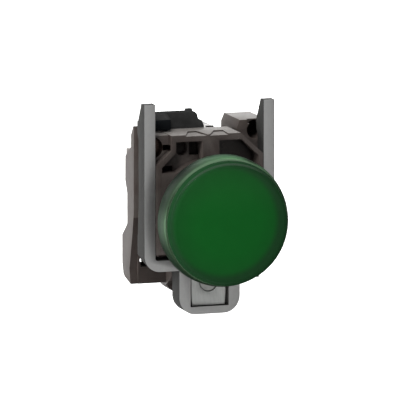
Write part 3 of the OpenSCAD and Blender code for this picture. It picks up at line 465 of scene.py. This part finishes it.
def blackened_steel():
    # Spring steel, blackened in oil: dark with a faint brown cast and a dull sheen.
    material, tree, shader = start_material("oil_blackened_steel", Metallic=0.2, Specular_IOR_Level=0.2)
    place = add(tree, "TexCoord").outputs["Object"]
    cloud = add(tree, "TexNoise", {"Scale": 1 / (1.5 * MM), "Detail": 3}, {"Vector": place}).outputs["Fac"]
    patch = add(tree, "MapRange", {"From Min": 0.3, "From Max": 0.7}, {"Value": cloud}).outputs[0]
    colour = add(tree, "Mix", {6: linear("201e1c"), 7: linear("302e2b")}, {0: patch},
                 data_type="RGBA").outputs[2]
    gloss = add(tree, "MapRange", {"To Min": 0.36, "To Max": 0.55}, {"Value": cloud}).outputs[0]
    bump = add(tree, "Bump", {"Strength": 1, "Distance": 0.003 * MM}, {"Height": cloud}).outputs[0]
    finish(tree, shader, colour, gloss, bump)
    return material


def stamped_brass():
    # Stamped brass: warm yellow with a slight tarnish in patches.
    material, tree, shader = start_material("stamped_brass", Metallic=1.0)
    place = add(tree, "TexCoord").outputs["Object"]
    cloud = add(tree, "TexNoise", {"Scale": 1 / (1.5 * MM), "Detail": 4}, {"Vector": place}).outputs["Fac"]
    tarnish = add(tree, "MapRange", {"From Min": 0.3, "From Max": 0.75}, {"Value": cloud}).outputs[0]
    colour = add(tree, "Mix", {6: linear("9a7c35"), 7: linear("d2b25a")}, {0: tarnish},
                 data_type="RGBA").outputs[2]
    gloss = add(tree, "MapRange", {"To Min": 0.25, "To Max": 0.45}, {"Value": cloud}).outputs[0]
    bump = add(tree, "Bump", {"Strength": 1, "Distance": 0.002 * MM}, {"Height": cloud}).outputs[0]
    finish(tree, shader, colour, gloss, bump)
    return material


def lamp_epoxy():
    # Cast epoxy of the LED: water-clear with a green tint, a bright gloss and a few flow streaks.
    material, tree, shader = start_material("cast_clear_epoxy", IOR=1.54, Transmission_Weight=0.8)
    place = add(tree, "TexCoord").outputs["Object"]
    streak = add(tree, "TexNoise", {"Scale": 1 / (1 * MM)}, {"Vector": place}).outputs["Fac"]
    colour = add(tree, "Mix", {6: linear("b9e6c2"), 7: linear("d5f2da")}, {0: streak},
                 data_type="RGBA").outputs[2]
    gloss = add(tree, "MapRange", {"To Min": 0.04, "To Max": 0.1}, {"Value": streak}).outputs[0]
    bump = add(tree, "Bump", {"Strength": 1, "Distance": 0.002 * MM}, {"Height": streak}).outputs[0]
    finish(tree, shader, colour, gloss, bump)
    return material


def board_mask():
    # Glass-epoxy board under green solder mask: glossy, with the 0.6 mm weave just showing through.
    material, tree, shader = start_material("solder_masked_glass_epoxy", IOR=1.5)
    place = add(tree, "TexCoord").outputs["Object"]
    weave = add(tree, "TexChecker", {"Scale": 1 / (0.6 * MM)}, {"Vector": place}).outputs["Fac"]
    colour = add(tree, "Mix", {6: linear("1f5c33"), 7: linear("246a3b")}, {0: weave},
                 data_type="RGBA").outputs[2]
    gloss = add(tree, "MapRange", {"To Min": 0.22, "To Max": 0.3}, {"Value": weave}).outputs[0]
    bump = add(tree, "Bump", {"Strength": 1, "Distance": 0.004 * MM}, {"Height": weave}).outputs[0]
    finish(tree, shader, colour, gloss, bump)
    return material


def dress(piece, *materials):
    piece.data.materials.clear()
    for material in materials:
        piece.data.materials.append(material)


def dress_nodes(material, *nodes):
    for node in nodes:
        dress(frame["nodes"][node], material)


def stand_for(piece, node, *materials):
    """Makes a piece stand for a node: it is dressed, moves with the node's body, and the node is hidden."""
    dress(piece, *materials)
    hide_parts(node)
    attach(piece, BODY_OF[node])
    return piece


def new_piece(name, mesh):
    piece = bpy.data.objects.new(name, mesh)
    bpy.context.scene.collection.objects.link(piece)
    return piece


def formed(form, name):
    """Piece of a finished form."""
    mesh = bpy.data.meshes.new(name)
    form.to_mesh(mesh)
    form.free()
    return new_piece(name, mesh)


def smooth(piece, angle=35):
    """Shades a piece smooth, apart from edges that turn by more than an angle in degrees."""
    piece.data.shade_smooth()
    piece.data.set_sharp_from_angle(angle=math.radians(angle))
    return piece


def softened(node, name, width, steps=2, angle=28):
    """Copy of a node with its sharp edges rounded, as a mould or die leaves them, in the second material."""
    seam, flat = 0.002 * MM, math.radians(0.8)
    form = bmesh.new()
    form.from_mesh(frame["nodes"][node].data)
    bmesh.ops.remove_doubles(form, verts=form.verts, dist=seam)
    bmesh.ops.dissolve_limit(form, angle_limit=flat, verts=form.verts, edges=form.edges)
    sharp = [e for e in form.edges if len(e.link_faces) == 2 and e.calc_face_angle(0) > math.radians(angle)]
    bmesh.ops.bevel(form, geom=sharp, offset=width, offset_type="OFFSET", segments=steps, profile=0.5,
                    affect="EDGES", clamp_overlap=True, material=1)
    return smooth(formed(form, name), angle)


def ring(form, middle, y, radii):
    """Corners round a line along Y at even turns, one for each radius."""
    turns = [2 * math.pi * i / len(radii) for i in range(len(radii))]
    return [form.verts.new((middle.x + radius * math.cos(turn), y, middle.z + radius * math.sin(turn)))
            for radius, turn in zip(radii, turns)]


def rod(form, rings):
    """Closed solid through a row of rings, with a flat face at both ends."""
    for a, b in zip(rings, rings[1:]):
        for i in range(len(a)):
            j = (i + 1) % len(a)
            form.faces.new((a[i], a[j], b[j], b[i]))
    form.faces.new(rings[0])
    form.faces.new(rings[-1])


def turned(name, profile, steps):
    """Solid turned about the lamp's axis from a closed profile of radius and depth."""
    axis, on_axis = Vector(), 0.0001 * MM
    form = bmesh.new()
    rings = []
    for radius, depth in profile:
        rings.append(ring(form, axis, depth, [radius] * steps) if radius > on_axis
                     else [form.verts.new((0, depth, 0))])
    for a, b in zip(rings, rings[1:] + rings[:1]):
        if len(a) == 1 and len(b) == 1:
            continue
        for i in range(steps):
            j = (i + 1) % steps
            corners = [a[i % len(a)], a[j % len(a)], b[j % len(b)], b[i % len(b)]]
            form.faces.new([corner for k, corner in enumerate(corners) if corner not in corners[:k]])
    bmesh.ops.recalc_face_normals(form, faces=form.faces)
    return smooth(formed(form, name))


def arc(x, y, radius, start, end, steps):
    """Points of an arc; its angle counts from the front of the axis outwards."""
    turns = [math.radians(start + (end - start) * i / steps) for i in range(steps + 1)]
    return [(x + radius * math.sin(t), y - radius * math.cos(t)) for t in turns]


def thread(form, middle, y0, y1, radius, pitch):
    """Threaded shank from y0 to y1, which runs out to a plain rod at both ends."""
    round_steps, per_turn = 40, 8
    depth, run_out = 0.54 * pitch, 0.8 * pitch
    count = int((y1 - y0) / pitch * per_turn)
    rings = []
    for i in range(count + 1):
        y = y0 + (y1 - y0) * i / count
        cut = depth * min(1, (y - y0) / run_out, (y1 - y) / run_out)
        waves = [(y / pitch - j / round_steps) % 1 for j in range(round_steps)]
        rings.append(ring(form, middle, y, [radius - cut * (1 - abs(2 * wave - 1)) for wave in waves]))
    rod(form, rings)


def lathe(form, middle, profile, steps=64):
    """Closed solid turned about a line along Y from points of radius and depth."""
    rod(form, [ring(form, middle, y, [radius] * steps) for radius, y in profile])


def head_with_recess(form, middle, y0, y1, radius):
    """Screw head with a rounded rim and a tapered cross recess, cut by a boolean."""
    height = y1 - y0
    edge = 0.12 * height
    blank = bmesh.new()
    lathe(blank, middle, [(radius - edge, y0), (radius, y0 + edge), (radius, y1 - 2 * edge),
                          (radius - 0.6 * edge, y1 - 0.7 * edge), (radius - 2 * edge, y1)])
    cutter = bmesh.new()
    wing, web = 0.68 * radius, 0.17 * radius
    floor, floor_share = y0 + 0.42 * height, 0.55
    above, above_share = y1 + 0.1 * MM, 1.04
    for upright in (False, True):
        box = []
        for y, share in ((floor, floor_share), (above, above_share)):
            long, wide = wing * share, web * (0.5 + share / 2)
            x, z = (wide, long) if upright else (long, wide)
            for sx, sz in ((-1, -1), (1, -1), (1, 1), (-1, 1)):
                box.append(cutter.verts.new((middle.x + sx * x, y, middle.z + sz * z)))
        for face in ((0, 1, 2, 3), (4, 7, 6, 5), (0, 4, 5, 1), (1, 5, 6, 2), (2, 6, 7, 3), (3, 7, 4, 0)):
            cutter.faces.new([box[i] for i in face])
    for work in (blank, cutter):
        bmesh.ops.recalc_face_normals(work, faces=work.faces)
    head, cross = formed(blank, "screw_blank"), formed(cutter, "cross_cutter")
    cut = head.modifiers.new("recess", "BOOLEAN")
    cut.object, cut.operation, cut.solver, cut.use_self = cross, "DIFFERENCE", "EXACT", True
    graph = bpy.context.evaluated_depsgraph_get()
    form.from_mesh(bpy.data.meshes.new_from_object(head.evaluated_get(graph)))
    for piece in (head, cross):
        bpy.data.objects.remove(piece)


def screw(node, name, diameter, pitch, head_length, tip_length=0):
    """Screw in the place of a node: a cross head, a threaded shank and, if it has one, a flared tip."""
    low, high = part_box(node)
    middle = (low + high) / 2
    radius = diameter / 2
    head_y, overlap = high.y - head_length, 0.1 * MM
    form = bmesh.new()
    if tip_length:
        flare, neck, edge = radius + 0.2 * MM, radius - 0.4 * MM, 0.06 * MM
        flare_back, neck_front = low.y + 0.48 * MM, low.y + 0.3 * MM
        lathe(form, middle, [(flare - edge, low.y), (flare, low.y + edge), (flare, flare_back - edge),
                             (flare - edge, flare_back)])
        lathe(form, middle, [(neck, neck_front), (neck, low.y + tip_length + overlap)])
    thread(form, middle, low.y + tip_length, head_y + overlap, radius, pitch)
    head_with_recess(form, middle, head_y, high.y, (high.x - low.x) / 2)
    bmesh.ops.recalc_face_normals(form, faces=form.faces)
    return smooth(formed(form, name))


class PILOT_OT_stage(bpy.types.Operator):
    """Floor, lights and camera"""

    bl_idname = "pilot_light.stage"
    bl_label = "Stage"

    def execute(self, context):
        scene = context.scene
        scene.view_settings.view_transform = "Standard"
        self.backdrop(scene)
        self.floor()
        # where each softbox stands, its level on what faces it, and its size
        for name, place, level, size in (
            ("softbox_key", (-0.34, -0.42, 0.6), 0.97, 0.25),
            ("softbox_side", (-0.8, -0.12, 0.12), 1.05, 0.4),
            ("softbox_back", (0.24, 0.72, 0.32), 0.5, 0.5),
            ("softbox_top", (-0.1, 0.16, 0.8), 0.6, 0.4),
        ):
            away = Vector(place)
            lamp = bpy.data.lights.new(name, "AREA")
            # this power lights a surface that faces the lamp at its colour's own level
            lamp.energy = level * (math.pi * away.length) ** 2
            lamp.shape = "SQUARE"
            lamp.size = size
            light = bpy.data.objects.new(name, lamp)
            light.location = place
            light.rotation_euler = away.to_track_quat("Z", "Y").to_euler()
            light.visible_glossy = name == "softbox_back"
            scene.collection.objects.link(light)
        self.camera(scene)
        return {"FINISHED"}

    def backdrop(self, scene):
        """White for the camera; in reflections white behind, grey overhead and in front, and dark beside."""
        room_light = 0.3
        world = bpy.data.worlds.new("white_backdrop")
        scene.world = world
        world.use_nodes = True
        tree = world.node_tree
        tree.nodes.clear()
        rays = add(tree, "LightPath").outputs
        glossy = rays["Is Glossy Ray"]
        towards = add(tree, "SeparateXYZ", links={0: add(tree, "TexCoord").outputs["Generated"]}).outputs
        behind = add(tree, "MapRange", {"From Min": 0.45, "From Max": 0.8, "To Min": 0.05, "To Max": 1.0},
                     {"Value": towards["Y"]}).outputs[0]
        overhead = add(tree, "MapRange", {"From Min": 0.45, "From Max": 0.8, "To Max": 0.55},
                       {"Value": towards["Z"]}).outputs[0]
        in_front = add(tree, "MapRange", {"From Min": -0.7, "From Max": -0.88, "To Max": 0.7},
                       {"Value": towards["Y"]}).outputs[0]
        upper = add(tree, "Math", links={0: behind, 1: overhead}, operation="MAXIMUM").outputs[0]
        paper = add(tree, "Math", links={0: upper, 1: in_front}, operation="MAXIMUM").outputs[0]
        mirrored = add(tree, "Math", links={0: paper, 1: glossy}, operation="MULTIPLY").outputs[0]
        through = add(tree, "Math", links={0: rays["Is Camera Ray"], 1: rays["Is Transmission Ray"]},
                      operation="MAXIMUM").outputs[0]
        seen = add(tree, "Math", links={0: mirrored, 1: through}, operation="MAXIMUM").outputs[0]
        # the room's own soft light, at which a colour renders about as it is written with the lamps
        strength = add(tree, "Math", {1: room_light}, {0: seen}, operation="MAXIMUM").outputs[0]
        level = add(tree, "Mix", links={0: glossy, 2: strength, 3: mirrored}).outputs[0]
        light = add(tree, "Background", {"Color": (1, 1, 1, 1)}, {"Strength": level})
        add(tree, "OutputWorld", links={"Surface": light.outputs[0]})

    def floor(self):
        """White paper under the lamp; it keeps the shadow and goes over into the backdrop further out."""
        half, drop = 4.0, 0.06
        mesh = bpy.data.meshes.new("floor")
        corners = [(-half, -half, 0), (half, -half, 0), (half, half, 0), (-half, half, 0)]
        mesh.from_pydata(corners, [], [(0, 1, 2, 3)])
        piece = new_piece("floor", mesh)
        piece.location.z = -drop
        dress(piece, self.floor_paper())

    def floor_paper(self):
        # Matte white paper, even and without sheen, which shines up to the backdrop's white further out.
        # Glossy faces mirror the paper behind the lamp, and elsewhere a room that is grey straight in front
        # and dark beside.
        material = bpy.data.materials.new("white_paper_floor")
        material.use_nodes = True
        tree = material.node_tree
        tree.nodes.clear()
        rays = add(tree, "LightPath").outputs
        place = add(tree, "TexCoord").outputs["Object"]
        away = add(tree, "VectorMath", links={0: place}, operation="LENGTH").outputs["Value"]
        behind = add(tree, "SeparateXYZ", links={0: place}).outputs["Y"]
        # for reflections the paper starts behind the lamp
        paper_from, paper_to, white_from, white_to = 0.03, 0.15, 0.15, 0.6
        paper_end = add(tree, "MapRange", {"From Min": paper_from, "From Max": paper_to},
                        {"Value": behind}).outputs[0]
        white = add(tree, "MapRange", {"From Min": white_from, "From Max": white_to, "To Min": 0.45,
                                       "To Max": 1.0}, {"Value": away}).outputs[0]
        seen = add(tree, "Math", links={0: rays["Is Camera Ray"], 1: rays["Is Transmission Ray"]},
                   operation="MAXIMUM").outputs[0]
        mirrored = add(tree, "Math", links={0: rays["Is Glossy Ray"], 1: paper_end},
                       operation="MULTIPLY").outputs[0]
        both = add(tree, "Math", links={0: seen, 1: mirrored}, operation="MAXIMUM").outputs[0]
        strength = add(tree, "Math", links={0: both, 1: white}, operation="MULTIPLY").outputs[0]
        glow = add(tree, "Emission", {"Color": (1, 1, 1, 1)}, {"Strength": strength}).outputs[0]
        paper = add(tree, "BsdfDiffuse", {"Color": (0.8, 0.8, 0.8, 1)}).outputs[0]
        lit = add(tree, "AddShader", links={0: paper, 1: glow}).outputs[0]
        # the room by its bearing from the lamp
        bearing = add(tree, "Math", links={0: behind, 1: away}, operation="DIVIDE").outputs[0]
        grey = add(tree, "MapRange", {"From Min": -0.55, "From Max": -0.75, "To Min": 0.05, "To Max": 0.7},
                   {"Value": bearing}).outputs[0]
        room = add(tree, "Emission", {"Color": (1, 1, 1, 1)}, {"Strength": grey}).outputs[0]
        short = add(tree, "Math", {0: 1}, {1: paper_end}, operation="SUBTRACT").outputs[0]
        dim = add(tree, "Math", links={0: rays["Is Glossy Ray"], 1: short}, operation="MULTIPLY").outputs[0]
        surface = add(tree, "MixShader", links={0: dim, 1: lit, 2: room}).outputs[0]
        add(tree, "OutputMaterial", links={"Surface": surface})
        return material

    def camera(self, scene):
        """Stands where the photograph was taken from, so its 410 pixels cover the same field."""
        turn, rise, away = math.radians(17.65), math.radians(9.426), 1146.4 * MM
        focal_px, image_px = 5206, 410
        frame_front, aim_left, aim_up = 8.1 * MM, 1.04 * MM, 1.95 * MM
        back = Vector((-math.sin(turn) * math.cos(rise), -math.cos(turn) * math.cos(rise), math.sin(rise)))
        right = Vector((math.cos(turn), -math.sin(turn), 0))
        up = right.cross(-back)
        aim = Vector((0, frame_front, 0)) - aim_left * right + aim_up * up
        lens = bpy.data.cameras.new("camera")
        lens.sensor_width = 36
        lens.lens = focal_px / image_px * lens.sensor_width
        lens.clip_start, lens.clip_end = 0.05, 20
        camera = bpy.data.objects.new("camera", lens)
        camera.location = aim + away * back
        camera.rotation_euler = back.to_track_quat("Z", "Y").to_euler()
        scene.collection.objects.link(camera)
        scene.camera = camera


class PILOT_OT_lens(bpy.types.Operator):
    """Green lens, turned as one smooth shell"""

    bl_idname = "pilot_light.lens"
    bl_label = "Lens"

    def execute(self, context):
        s = sizes()
        low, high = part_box("lens")
        radius, front, back = high.x, low.y, high.y
        skirt_length, skirt_outer, skirt_inner = 2.4 * MM, 12.25 * MM, 10.75 * MM
        rim, rim_edge = back - skirt_length, 0.08 * MM
        groove_front, groove_back, groove_floor = rim + 0.85 * MM, rim + 1.79 * MM, 11.41 * MM
        crown_y = front + s.lens_crown
        edge_x, edge_reach = radius - s.lens_edge, s.lens_crown - s.lens_edge
        edge_turn = math.degrees(math.asin(edge_x / edge_reach))
        edge_y = crown_y - edge_reach * math.cos(math.radians(edge_turn))
        inner = s.lens_crown - s.lens_wall
        inner_turn = math.degrees(math.asin(skirt_inner / inner))
        profile = arc(0, crown_y, inner, inner_turn, 0, steps=12)
        profile += arc(0, crown_y, s.lens_crown, 0, edge_turn, steps=20)
        profile += arc(edge_x, edge_y, s.lens_edge, edge_turn, 90, steps=20)[1:]
        profile += [(radius, rim - rim_edge), (radius - rim_edge, rim), (skirt_outer, rim),
                    (skirt_outer, groove_front), (groove_floor, groove_front), (groove_floor, groove_back),
                    (skirt_outer, groove_back), (skirt_outer, back), (skirt_inner, back)]
        stand_for(turned("lens_shell", profile, s.round_steps), "lens", lens_green())
        return {"FINISHED"}


class PILOT_OT_bezel(bpy.types.Operator):
    """Metal head behind the lens, with its gasket"""

    bl_idname = "pilot_light.bezel"
    bl_label = "Bezel"

    def execute(self, context):
        zinc = bezel_zinc()
        stand_for(softened("bezel_body", "bezel_turning", sizes().steel_edge, steps=3), "bezel_body",
                  zinc, zinc)
        dress_nodes(nitrile(), "lens_seal", "panel_gasket")
        dress_nodes(opal_plastic(), "diffuser", "reflector")
        return {"FINISHED"}


class PILOT_OT_collar(bpy.types.Operator):
    """Moulded collar with its locking ring"""

    bl_idname = "pilot_light.collar"
    bl_label = "Collar"

    def execute(self, context):
        s = sizes()
        stand_for(softened("collar_body", "collar_moulding", s.mould_edge), "collar_body",
                  collar_polyamide(), collar_edge_polyamide())
        stand_for(softened("locking_lever", "lever_moulding", s.mould_edge), "locking_lever",
                  lever_polyamide(), lever_edge_polyamide())
        dress_nodes(blackened_steel(), "ring_retainer")
        return {"FINISHED"}


class PILOT_OT_clamp(bpy.types.Operator):
    """Clamp frame with its plate, screw and nut"""

    bl_idname = "pilot_light.clamp"
    bl_label = "Clamp frame"

    def execute(self, context):
        s = sizes()
        stand_for(softened("clamp_frame", "frame_casting", s.cast_edge, steps=3), "clamp_frame",
                  frame_zinc(), frame_edge_zinc())
        plate, steel = window_plate_steel(), plated_steel()
        stand_for(softened("clamp_plate", "window_plate", s.steel_edge), "clamp_plate", plate, plate)
        cut = screw("clamp_screw", "clamp_screw_cut", s.clamp_screw, s.clamp_pitch, head_length=2.4 * MM,
                    tip_length=1.45 * MM)
        stand_for(cut, "clamp_screw", steel)
        dress_nodes(steel, "clamp_nut")
        return {"FINISHED"}


class PILOT_OT_block(bpy.types.Operator):
    """LED block with its terminals and its inner parts"""

    bl_idname = "pilot_light.block"
    bl_label = "LED block"

    def execute(self, context):
        s = sizes()
        housing, edge, steel = housing_plastic(), cover_edge_plastic(), plated_steel()
        stand_for(softened("block_housing", "housing_moulding", s.mould_edge), "block_housing",
                  housing, housing)
        stand_for(softened("block_cover", "cover_moulding", s.mould_edge), "block_cover",
                  cover_plastic(), edge)
        for place in ("upper", "lower"):
            node = "terminal_screw_" + place
            cut = screw(node, node + "_cut", s.terminal_screw, s.terminal_pitch, head_length=2.1 * MM)
            stand_for(cut, node, steel)
        dress_nodes(steel, "wire_clamp_upper", "wire_clamp_lower")
        dress_nodes(stamped_brass(), "contact_bar_upper", "contact_bar_lower")
        dress_nodes(lamp_epoxy(), "led_lamp")
        dress_nodes(board_mask(), "circuit_board")
        dress_nodes(resistor_lacquer(), "dropper_resistor")
        dress_nodes(capacitor_sleeve(), "smoothing_capacitor")
        return {"FINISHED"}


STEPS = (PILOT_OT_stage, PILOT_OT_lens, PILOT_OT_bezel, PILOT_OT_collar, PILOT_OT_clamp, PILOT_OT_block)


class PILOT_PT_parts(bpy.types.Panel):
    """Lists the steps that make the pilot light"""

    bl_label = "Pilot Light"
    bl_idname = "PILOT_PT_parts"
    bl_space_type = "VIEW_3D"
    bl_region_type = "UI"
    bl_category = "Pilot Light"

    def draw(self, context):
        for group in (context.scene.pilot_light_sizes, context.scene.pilot_light_colours):
            box = self.layout.box()
            for name in group.__annotations__:
                box.prop(group, name)
        for step in STEPS:
            self.layout.operator(step.bl_idname)


CLASSES = (PilotLightSizes, PilotLightColours) + STEPS + (PILOT_PT_parts,)


def register():
    for item in CLASSES:
        bpy.utils.register_class(item)
    bpy.types.Scene.pilot_light_sizes = PointerProperty(type=PilotLightSizes)
    bpy.types.Scene.pilot_light_colours = PointerProperty(type=PilotLightColours)


def unregister():
    del bpy.types.Scene.pilot_light_colours
    del bpy.types.Scene.pilot_light_sizes
    for item in reversed(CLASSES):
        bpy.utils.unregister_class(item)


def main():
    register()
    make = bpy.ops.pilot_light
    for step in (make.stage, make.lens, make.bezel, make.collar, make.clamp, make.block):
        step()


if __name__ == "__main__":
    main()
